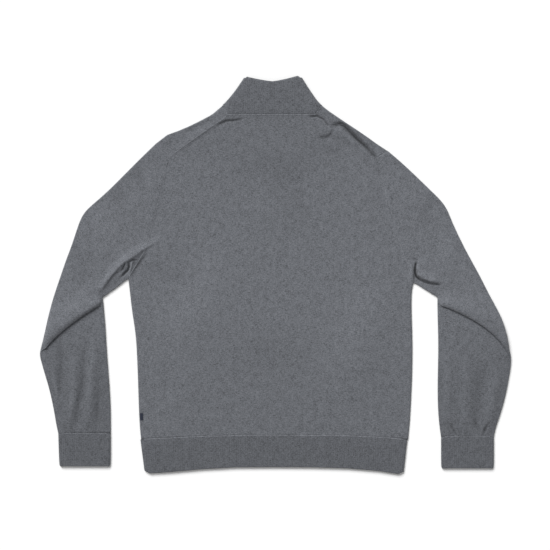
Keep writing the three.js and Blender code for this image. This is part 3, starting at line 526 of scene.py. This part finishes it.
def strip_path(name, points):
    """A strip's places along its seam, and half its width at each."""
    line = smooth_line(TIP_LINES.get(name, points), STRIP_STEP)
    before, after = line[0] - line[1], line[-1] - line[-2]
    line = np.array([line[0] + 2 * before, line[0] + before, *line, line[-1] + after, line[-1] + 2 * after])
    first, last = STRIP_ENDS.get(name, MIDDLE_ENDS)
    line = line[first:len(line) - last]
    widths = np.full(len(line), STRIP_HALF_WIDTH)
    if name in TIP_LINES:
        from_end = np.min([np.linalg.norm(line - end, axis=1) for end in line[[0, -1]]], axis=0)
        widths *= 1 + TIP_SPREAD * smooth_step(1 - from_end / TIP_REACH)
    return line, widths


def strip_rings(line, widths, trees):
    """The strip's cross-sections, each laid on the cloth below it."""
    ways = np.gradient(line, axis=0)
    ways /= np.linalg.norm(ways, axis=1)[:, None]
    sides = np.stack([-ways[:, 1], ways[:, 0]], axis=1)
    beside = np.array([[cloth_height(trees, place + side * step * width) for step in RAY_STEPS]
                       for place, side, width in zip(line, sides, widths)])
    beside[:, 1] = np.maximum(beside[:, 1], beside[:, ::2].mean(axis=1))
    beside = (np.roll(beside, 1, axis=0) + 2 * beside + np.roll(beside, -1, axis=0))[1:-1] / 4
    rings = []
    for place, side, width, heights in zip(line[1:-1], sides[1:-1], widths[1:-1], beside):
        ring = []
        for across, up in STRIP_PROFILE:
            x, y = place + side * across * width
            height = np.interp(across, RAY_STEPS, heights) + up * MM
            ring.append((x, y, max(height, STRIP_LOWEST)))
        rings.append(ring)
    return rings


# %% Sweep the strips along the seams
def seam_strip(name, points, trees):
    """A low rounded strip along a seam, which dips under the cloth at both sides."""
    strip = bmesh.new()
    places = strip_rings(*strip_path(name, points), trees)
    rings = [[strip.verts.new(spot) for spot in ring] for ring in places]
    for low, high in zip(rings, rings[1:]):
        for i in range(len(STRIP_PROFILE)):
            j = (i + 1) % len(STRIP_PROFILE)
            strip.faces.new((low[i], low[j], high[j], high[i]))
    strip.faces.new(rings[0])
    strip.faces.new(rings[-1][::-1])
    bmesh.ops.recalc_face_normals(strip, faces=strip.faces)
    mesh = bpy.data.meshes.new(name)
    strip.to_mesh(mesh)
    strip.free()
    piece = bpy.data.objects.new(name, mesh)
    bpy.context.scene.collection.objects.link(piece)
    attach(piece, "garment")
    return piece


def tree_of(piece):
    return BVHTree.FromObject(piece, bpy.context.evaluated_depsgraph_get())


# %% The strips, and smooth shading for all the cloth
CLOTH_SMOOTH = math.radians(50)
cloth_pieces = [
    back, front, sleeve_left, sleeve_right, cuff_left, cuff_right, hem_back, hem_front, collar]
cloth_trees = [tree_of(piece) for piece in cloth_pieces]
seams = {name: seam_strip(name, line, cloth_trees) for name, (line, _, _) in SEAMS.items()}
knitted = [*cloth_pieces, *seams.values()]
for piece in knitted:
    make_active(piece)
    bpy.ops.object.shade_smooth_by_angle(angle=CLOTH_SMOOTH)
print(len(seams), "linked seams")

# %% [markdown]
# Knit has a direction: its columns of stitches run down the body and along each sleeve, also past the fold
# at the elbow. A pattern in the object's own coordinates is simpler, but would run on straight. So the
# pattern lies on a UV map, in metres, which is turned on each sleeve by the direction of the upper arm above
# the crest of the elbow's fold, and by that of the forearm below it.

# %% Direction of the knit
SLEEVE_WAYS = {
    sleeve_left: (
        (-0.525, -0.851), (0.117, -0.993),
        [(-470, -165), (-435, -122), (-389, -84), (-343, -48)]),
    sleeve_right: (
        (0.546, -0.838), (-0.123, -0.992),
        [(326, -46), (372, -69), (417, -93), (450, -139), (472, -190)]),
}


def lay_knit(piece):
    """Writes the piece's UV map: across the stitch columns, then along them."""
    layer = piece.data.uv_layers.new(name="knit")
    count = len(piece.data.loops)
    corners = np.empty(count, dtype=np.int32)
    piece.data.loops.foreach_get("vertex_index", corners)
    places = read_points(piece)[corners, :2]
    way = np.tile([0.0, 1.0], (count, 1))
    if piece in SLEEVE_WAYS:
        upper_way, lower_way, crest = SLEEVE_WAYS[piece]
        centres = np.empty(3 * len(piece.data.polygons))
        piece.data.polygons.foreach_get("center", centres)
        centres = centres.reshape(-1, 3)[:, :2]
        fold_y = np.interp(centres[:, 0], *table_points(crest).T)
        sizes = np.empty(len(piece.data.polygons), dtype=np.int32)
        piece.data.polygons.foreach_get("loop_total", sizes)
        forearm = np.repeat(centres[:, 1] < fold_y, sizes)
        way = -np.where(forearm[:, None], lower_way, upper_way)
    across = places[:, 0] * way[:, 1] - places[:, 1] * way[:, 0]
    along = places[:, 0] * way[:, 0] + places[:, 1] * way[:, 1]
    layer.data.foreach_set("uv", np.stack([across, along], axis=1).ravel())


for piece in knitted:
    lay_knit(piece)
print("knit laid on", len(knitted), "pieces")

# %% [markdown]
# Painted shade and painted light: each point's colour is darker in the troughs of the creases and lighter on
# their ridges. It is also darker on the lower sleeves, towards the hem and on the yoke as painted shade, and
# lighter on the collar and along the neck and hem seams as painted light. A factor for each point, kept in an
# attribute, does all of this without any picture.

# %% Painted light and shade of the cloth
# Painted shade in the troughs of the wide and narrow creases, painted light on their ridges
WIDE_CREASE_PAINTED_SHADING = 0.045
NARROW_CREASE_PAINTED_SHADING = 0.14
# Painted shade on the lower sleeves, towards the hem and on the yoke
LOWER_SLEEVE_PAINTED_SHADE = 0.2
HEM_PAINTED_SHADE = 0.06
YOKE_PAINTED_SHADE = 0.07
# Painted light on the collar, and painted highlights along the neck, its two ends and the hem seam
COLLAR_PAINTED_LIGHT = 0.06
SEAM_PAINTED_HIGHLIGHTS = {"seam_neck": 0.22, "seam_neck_left": 0.15, "seam_neck_right": 0.1, "seam_hem": 0.1}
WIDE_RANGE = (-3, 1.5)
NARROW_RANGE = (-6, 1)
DOWN_FROM = -40 * MM
DOWN_LENGTH = 200 * MM
UP_FROM = 180 * MM
UP_LENGTH = 120 * MM
LEAST_PAINTED_SHADING = 0.15


def lay_painted_shading(piece):
    """Writes a factor of painted light and shade for the colour of each point, near 1."""
    points = read_points(piece)
    wide = np.clip(crease_heights(points[:, :2], WIDE_CREASES) / MM, *WIDE_RANGE)
    narrow = np.clip(crease_heights(points[:, :2], NARROW_CREASES) / MM, *NARROW_RANGE)
    down = smooth_step((DOWN_FROM - points[:, 1]) / DOWN_LENGTH)
    up = smooth_step((points[:, 1] - UP_FROM) / UP_LENGTH)
    # Painted shade and light from the creases, and the painted highlights of the seams
    painted_shading = 1 + WIDE_CREASE_PAINTED_SHADING * wide + NARROW_CREASE_PAINTED_SHADING * narrow + SEAM_PAINTED_HIGHLIGHTS.get(piece.name, 0)
    # Painted light on the collar, painted shade on the yoke
    painted_shading += COLLAR_PAINTED_LIGHT if piece is collar else -YOKE_PAINTED_SHADE * up
    # Painted shade on the lower sleeves and towards the hem
    painted_shading -= (LOWER_SLEEVE_PAINTED_SHADE if piece in SLEEVE_WAYS else HEM_PAINTED_SHADE) * down
    attribute = piece.data.attributes.new("painted_shading", "FLOAT", "POINT")
    attribute.data.foreach_set("value", np.maximum(painted_shading, LEAST_PAINTED_SHADING))
    return painted_shading.min(), painted_shading.max()


tones = np.array([lay_painted_shading(piece) for piece in knitted])
print("tones from", round(tones.min(), 2), "to", round(tones.max(), 2))

# %% [markdown]
# The yarn is a melange: fibres of several greys are spun together, so the grey changes from one stitch to
# the next, more slowly along a course as one length of yarn runs through it, and a little in soft clouds.
# An image of knit would do, but here every stitch is drawn: a column is folded in two with a ping pong, and
# each half becomes a leaning leg, so that two legs make the V of a stitch. White noise then gives each leg
# its own grey, and the same V goes into a bump. The cuffs, the hem and the collar are knitted in rib, which
# gets a slow wave across its columns as well.

# %% Node helpers
RED_SHARE = 0.978
BLUE_SHARE = 1.048
SCREEN_POWER = 2.2


def add_node(tree, kind, **values):
    """A new node; each value goes to the input of that name, or else to the node's own setting."""
    node = tree.nodes.new(kind)
    for name, value in values.items():
        if name in node.inputs:
            node.inputs[name].default_value = value
        else:
            setattr(node, name, value)
    return node


def maths(tree, operation, *inputs):
    """A Math node's result; each input is a number or another node's output."""
    node = add_node(tree, "ShaderNodeMath", operation=operation)
    for socket, value in zip(node.inputs, inputs):
        if isinstance(value, (int, float)):
            socket.default_value = value
        else:
            tree.links.new(value, socket)
    return node.outputs["Value"]


def grey(value):
    """A linear colour from a screen grey of 0 to 255, a little blue."""
    channels = (value * RED_SHARE, value, value * BLUE_SHARE)
    return (*[(channel / 255) ** SCREEN_POWER for channel in channels], 1)


# %% [markdown]
# A column of stitches is a wale and a row is a course. Each loop leans out from the middle of its wale, which
# makes the V. Modelled loops would need millions of faces, so Math nodes draw the V from the map: the ping
# pong gives the place across a leg, and a cosine that is shifted by it gives the loops.

# %% The stitches
WALE = 1.8 * MM
COURSE = 1.3 * MM
LEG_LEAN = 0.6
LOOP_DEPTH = 0.35


def stitches(tree, parts):
    """The relief of the stitches, that of their legs alone, and the cell that each leg lies in."""
    columns = maths(tree, "DIVIDE", parts.outputs["X"], WALE)
    rows = maths(tree, "DIVIDE", parts.outputs["Y"], COURSE)
    leg = maths(tree, "MULTIPLY", maths(tree, "PINGPONG", columns, 0.5), 2)
    phase = maths(tree, "ADD", rows, maths(tree, "MULTIPLY", leg, LEG_LEAN))
    loops = maths(tree, "COSINE", maths(tree, "MULTIPLY", phase, 2 * math.pi))
    waves = maths(tree, "ADD", maths(tree, "MULTIPLY", loops, LOOP_DEPTH), 1 - LOOP_DEPTH)
    legs = maths(tree, "SINE", maths(tree, "MULTIPLY", leg, math.pi))
    cell = add_node(tree, "ShaderNodeCombineXYZ")
    tree.links.new(maths(tree, "FLOOR", maths(tree, "MULTIPLY", columns, 2)), cell.inputs["X"])
    tree.links.new(maths(tree, "FLOOR", phase), cell.inputs["Y"])
    return maths(tree, "MULTIPLY", waves, legs), legs, cell.outputs["Vector"]


# %% [markdown]
# One noise alone looks like stone. Spun melange needs three layers: a speckle that is constant over a leg of
# a stitch, streaks that follow the yarn along its course, and clouds that are larger than stitches. Painted
# shade is added where the legs of the stitches meet, darker towards each leg's edges.

# %% The greys of the yarn
SPECKLE_SHARE = 0.42
STREAK_SHARE = 0.75
CLOUD_SHARE = 0.25
# Painted shade where the legs of the stitches meet
LEG_PAINTED_SHADE = 0.12
STREAK_SCALE = (160, 700, 1)
CLOUD_SCALE = 70


def noise_on(tree, places, **values):
    noise = add_node(tree, "ShaderNodeTexNoise", noise_dimensions="2D", **values)
    tree.links.new(places, noise.inputs["Vector"])
    return noise.outputs["Fac"]


def yarn_greys(tree, places, cell, legs):
    """How light the yarn is: a speckle for each leg, streaks, soft clouds, and painted shade at each leg's
    edges.
    """
    speckle = add_node(tree, "ShaderNodeTexWhiteNoise", noise_dimensions="2D")
    tree.links.new(cell, speckle.inputs["Vector"])
    stretched = add_node(tree, "ShaderNodeMapping", Scale=STREAK_SCALE)
    tree.links.new(places, stretched.inputs["Vector"])
    streaks = noise_on(tree, stretched.outputs["Vector"], Scale=1, Detail=2, Roughness=0.6)
    clouds = noise_on(tree, places, Scale=CLOUD_SCALE, Detail=2)
    mixed = maths(tree, "MULTIPLY", speckle.outputs["Value"], SPECKLE_SHARE)
    for layer, share in [(streaks, STREAK_SHARE), (clouds, CLOUD_SHARE), (legs, LEG_PAINTED_SHADE)]:
        mixed = maths(tree, "ADD", mixed, maths(tree, "MULTIPLY", layer, share))
    return mixed


# %% [markdown]
# The two parts now meet in one shader. Wool scatters light between its fibres, so it is rough, has a soft
# sheen and hardly any gloss. A rib is a knit whose wales stand forward in turn, which a cosine across them
# gives to the bump, and to the grey as painted shade on the sunken wales and painted light on the raised
# ones.

# %% Melange knit and rib
RIB_PAINTED_SHADE = 0.05
RIB_STITCH = 0.6
RIB_RIDGE = 0.3
DARK_END = 0.38
LIGHT_END = 1.0
RIB_LIGHT_END = 1.12
BUMP_DEPTH = 0.3 * MM


def melange(name, dark, light, rib_width=0.0):
    """A knit between two greys; with a rib width, its columns stand in ribs."""
    material = bpy.data.materials.new(name)
    material.use_nodes = True
    tree = material.node_tree
    link = tree.links.new
    shader = tree.nodes["Principled BSDF"]
    shader.inputs["Roughness"].default_value = 0.94
    shader.inputs["Sheen Weight"].default_value = 0.25
    shader.inputs["Sheen Roughness"].default_value = 0.5
    shader.inputs["Specular IOR Level"].default_value = 0.15
    stitch_map = add_node(tree, "ShaderNodeUVMap", uv_map="knit")
    parts = add_node(tree, "ShaderNodeSeparateXYZ")
    link(stitch_map.outputs["UV"], parts.inputs["Vector"])
    relief, legs, cell = stitches(tree, parts)
    mixed = yarn_greys(tree, stitch_map.outputs["UV"], cell, legs)
    if rib_width:
        turn = maths(tree, "MULTIPLY", parts.outputs["X"], 2 * math.pi / rib_width)
        ridge = maths(tree, "COSINE", turn)
        # Painted shade on the rib's sunken wales and painted light on its raised ones
        mixed = maths(tree, "ADD", mixed, maths(tree, "MULTIPLY", ridge, RIB_PAINTED_SHADE))
        relief = maths(tree, "ADD", maths(tree, "MULTIPLY", relief, RIB_STITCH),
                       maths(tree, "MULTIPLY", ridge, RIB_RIDGE))
    ramp = add_node(tree, "ShaderNodeValToRGB")
    low, high = ramp.color_ramp.elements
    low.position = DARK_END
    low.color = grey(dark)
    high.position = RIB_LIGHT_END if rib_width else LIGHT_END
    high.color = grey(light)
    link(mixed, ramp.inputs["Fac"])
    # The colour is scaled by each point's painted light and shade
    painted_shading = add_node(tree, "ShaderNodeAttribute", attribute_name="painted_shading")
    shaded = add_node(tree, "ShaderNodeVectorMath", operation="SCALE")
    link(ramp.outputs["Color"], shaded.inputs[0])
    link(painted_shading.outputs["Fac"], shaded.inputs["Scale"])
    link(shaded.outputs["Vector"], shader.inputs["Base Color"])
    bump = add_node(tree, "ShaderNodeBump", Strength=0.6, Distance=BUMP_DEPTH)
    link(relief, bump.inputs["Height"])
    link(bump.outputs["Normal"], shader.inputs["Normal"])
    return material


knit = melange("melange knit", dark=64, light=115)
rib = melange("melange rib", dark=58, light=102, rib_width=2 * WALE)
link_yarn = melange("melange linking yarn", dark=70, light=122)


def finish_with(piece, material):
    piece.data.materials.clear()
    piece.data.materials.append(material)


for piece in [back, front, sleeve_left, sleeve_right]:
    finish_with(piece, knit)
for piece in [cuff_left, cuff_right, hem_back, hem_front, collar]:
    finish_with(piece, rib)
for piece in seams.values():
    finish_with(piece, link_yarn)
print("cloth has its finishes")

# %% [markdown]
# The zip is a row of metal teeth on each tape, each row set half a step from the other so that they mesh. The
# solid is one plain strip. Here one tooth is modelled: a block whose end is inset and pressed in a little,
# with rounded edges. It is then copied along both sides and follows the tape as it climbs onto the collar.

# %% Zip teeth
PITCH = 2.0 * MM
TOOTH_SIZE = Vector((3.1, 1.3, 1.9)) * MM
TOOTH_REACH = 0.5 * MM
TOOTH_MIDDLE = 1.0 * MM
TOOTH_INSET = 0.3 * MM
TOOTH_HOLLOW = 0.2 * MM
TOOTH_ROUNDING = 0.15 * MM
TOOTH_SMOOTH = math.radians(30)
FACES_RIGHT = 0.9
CLIMB_LENGTH = 14 * MM
chain_low, chain_high = (Vector(corner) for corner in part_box("zip_chain"))
chain_x = (chain_low.x + chain_high.x) / 2
collar_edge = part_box("collar")[0][1]
climb_start = collar_edge - CLIMB_LENGTH
chain_floor = chain_low.z + TOOTH_MIDDLE
chain_rise = chain_high.z - TOOTH_MIDDLE - chain_floor


def model_tooth():
    """One block with its inner end pressed in and its edges rounded."""
    bpy.ops.mesh.primitive_cube_add(size=1)
    tooth = bpy.context.object
    tooth.name = "zip_teeth"
    tooth.scale = TOOTH_SIZE
    bpy.ops.object.transform_apply(location=False, rotation=False, scale=True)
    bpy.ops.object.mode_set(mode="EDIT")
    bpy.ops.mesh.select_mode(type="FACE")
    bpy.ops.mesh.select_all(action="DESELECT")
    bpy.ops.object.mode_set(mode="OBJECT")
    for face in tooth.data.polygons:
        face.select = face.normal.x > FACES_RIGHT
    bpy.ops.object.mode_set(mode="EDIT")
    bpy.ops.mesh.inset(thickness=TOOTH_INSET, depth=-TOOTH_HOLLOW)
    bpy.ops.object.mode_set(mode="OBJECT")
    rounding = tooth.modifiers.new("Round", "BEVEL")
    rounding.width = TOOTH_ROUNDING
    rounding.segments = 1
    bpy.ops.object.modifier_apply(modifier=rounding.name)
    return tooth


# %% Both rows of teeth
def copy_tooth(tooth, place, turned):
    copy = tooth.copy()
    copy.data = tooth.data.copy()
    copy.location = place
    copy.rotation_euler.z = math.pi if turned else 0
    bpy.context.scene.collection.objects.link(copy)
    copy.select_set(True)


bpy.ops.object.select_all(action="DESELECT")
tooth = model_tooth()
count = int((chain_high.y - chain_low.y - TOOTH_SIZE.y) / PITCH)
for i in range(count):
    for side in (-1, 1):
        y = chain_low.y + TOOTH_SIZE.y / 2 + (i + (0.5 if side > 0 else 0)) * PITCH
        climb = smooth_step((y - climb_start) / (collar_edge - climb_start))
        x = chain_x + side * (TOOTH_SIZE.x / 2 - TOOTH_REACH)
        copy_tooth(tooth, (x, y, chain_floor + climb * chain_rise), side > 0)
tooth.select_set(False)
teeth = bpy.context.selected_objects[0]
bpy.context.view_layer.objects.active = teeth
bpy.ops.object.join()
bpy.data.objects.remove(tooth)
teeth.name = "zip_teeth"
bpy.ops.object.transform_apply(location=True, rotation=True, scale=True)
bpy.ops.object.shade_smooth_by_angle(angle=TOOTH_SMOOTH)
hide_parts("zip_chain")
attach(teeth, "garment")
print(2 * count, "teeth with", len(teeth.data.polygons), "faces")

# %% [markdown]
# The metal is satin nickel, the tape a plain dark weave and the side label a small woven tab. They keep
# their solids, because these already have the right shape. A little noise in colour and bump is enough for
# parts this small.

# %% Zip and label finishes
def small_finish(name, colour, roughness, metallic, noise_scale, contrast, relief):
    """A plain material whose colour and height vary a little with a noise; the relief is in millimetres."""
    material = bpy.data.materials.new(name)
    material.use_nodes = True
    tree = material.node_tree
    shader = tree.nodes["Principled BSDF"]
    shader.inputs["Metallic"].default_value = metallic
    shader.inputs["Roughness"].default_value = roughness
    places = add_node(tree, "ShaderNodeTexCoord")
    noise = add_node(tree, "ShaderNodeTexNoise", Scale=noise_scale, Detail=3)
    ramp = add_node(tree, "ShaderNodeValToRGB")
    ramp.color_ramp.elements[0].color = (*[value * (1 - contrast) for value in colour], 1)
    ramp.color_ramp.elements[1].color = (*[value * (1 + contrast) for value in colour], 1)
    tree.links.new(places.outputs["Object"], noise.inputs["Vector"])
    tree.links.new(noise.outputs["Fac"], ramp.inputs["Fac"])
    tree.links.new(ramp.outputs["Color"], shader.inputs["Base Color"])
    bump = add_node(tree, "ShaderNodeBump", Strength=0.3, Distance=relief * MM)
    tree.links.new(noise.outputs["Fac"], bump.inputs["Height"])
    tree.links.new(bump.outputs["Normal"], shader.inputs["Normal"])
    return material


nickel = small_finish(
    "satin nickel", (0.5, 0.5, 0.51), roughness=0.32, metallic=1.0, noise_scale=900, contrast=0.08,
    relief=0.05)
tape = small_finish(
    "woven zip tape", (0.08, 0.082, 0.09), roughness=0.9, metallic=0.0, noise_scale=1600, contrast=0.3,
    relief=0.2)
navy = small_finish(
    "woven side label", (0.008, 0.012, 0.026), roughness=0.8, metallic=0.0, noise_scale=1400, contrast=0.4,
    relief=0.2)
FINISHES = {
    "zip_tape_left": tape,
    "zip_tape_right": tape,
    "zip_slider": nickel,
    "zip_pull_tab": nickel,
    "zip_stop": nickel,
    "side_label": navy,
}
for node, material in FINISHES.items():
    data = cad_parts[node].data
    data.materials.clear()
    data.materials.append(material)
teeth.data.materials.clear()
teeth.data.materials.append(nickel)
print(len(FINISHES) + 1, "small pieces have their finishes")

# %% [markdown]
# The photograph looks straight down at the garment on a bright ground. A long lens keeps it free of
# perspective. A wide sun from the top left gives the folds their soft shade evenly over the whole garment,
# which an area light near it can't do, and the pale world fills the rest.

# %% Floor
FLOOR_SIZE = 12
FLOOR_DROP = 0.5 * MM
FLOOR_GREY = 0.88
bpy.ops.object.select_all(action="DESELECT")
bpy.ops.mesh.primitive_plane_add(size=FLOOR_SIZE, location=(0, 0, -FLOOR_DROP))
floor = bpy.context.object
floor.name = "floor"
pale = bpy.data.materials.new("pale ground")
pale.use_nodes = True
pale_shader = pale.node_tree.nodes["Principled BSDF"]
pale_shader.inputs["Base Color"].default_value = (FLOOR_GREY, FLOOR_GREY, FLOOR_GREY, 1)
pale_shader.inputs["Roughness"].default_value = 0.9
floor.data.materials.append(pale)
print("floor", FLOOR_SIZE, "m wide")

# %% Sun and sky
SUN_HEIGHT = math.radians(38)
SUN_SIDE = math.radians(118)
SUN_SOFTNESS = math.radians(36)
SUN_STRENGTH = 3.9
SKY_STRENGTH = 0.42
sun_data = bpy.data.lights.new("soft sun", "SUN")
sun_data.energy = SUN_STRENGTH
sun_data.angle = SUN_SOFTNESS
sun = bpy.data.objects.new("soft sun", sun_data)
sun_way = Vector((
    math.cos(SUN_SIDE) * math.cos(SUN_HEIGHT),
    math.sin(SUN_SIDE) * math.cos(SUN_HEIGHT),
    math.sin(SUN_HEIGHT)))
sun.rotation_euler = (-sun_way).to_track_quat("-Z", "Y").to_euler()
bpy.context.scene.collection.objects.link(sun)
world = bpy.data.worlds.new("studio")
world.use_nodes = True
background = world.node_tree.nodes["Background"]
background.inputs["Color"].default_value = (1, 1, 1, 1)
background.inputs["Strength"].default_value = SKY_STRENGTH
bpy.context.scene.world = world
print("sun", round(math.degrees(SUN_HEIGHT)), "degrees up, of strength", SUN_STRENGTH)

# %% Camera
PHOTO_WIDTH = 1.1
CAMERA_HEIGHT = 3.2
CAMERA_PLACE = (-0.0009, -0.0001, CAMERA_HEIGHT)
SENSOR_WIDTH = 36
camera_data = bpy.data.cameras.new("camera")
camera_data.sensor_width = SENSOR_WIDTH
camera_data.lens = SENSOR_WIDTH * CAMERA_HEIGHT / PHOTO_WIDTH
camera = bpy.data.objects.new("camera", camera_data)
camera.location = CAMERA_PLACE
bpy.context.scene.collection.objects.link(camera)
bpy.context.scene.camera = camera
bpy.context.scene.view_settings.view_transform = "Standard"
print("camera with a lens of", round(camera_data.lens), "mm")

# %% [markdown]

print(len(cloth_pieces) + 2, "sheets declared")
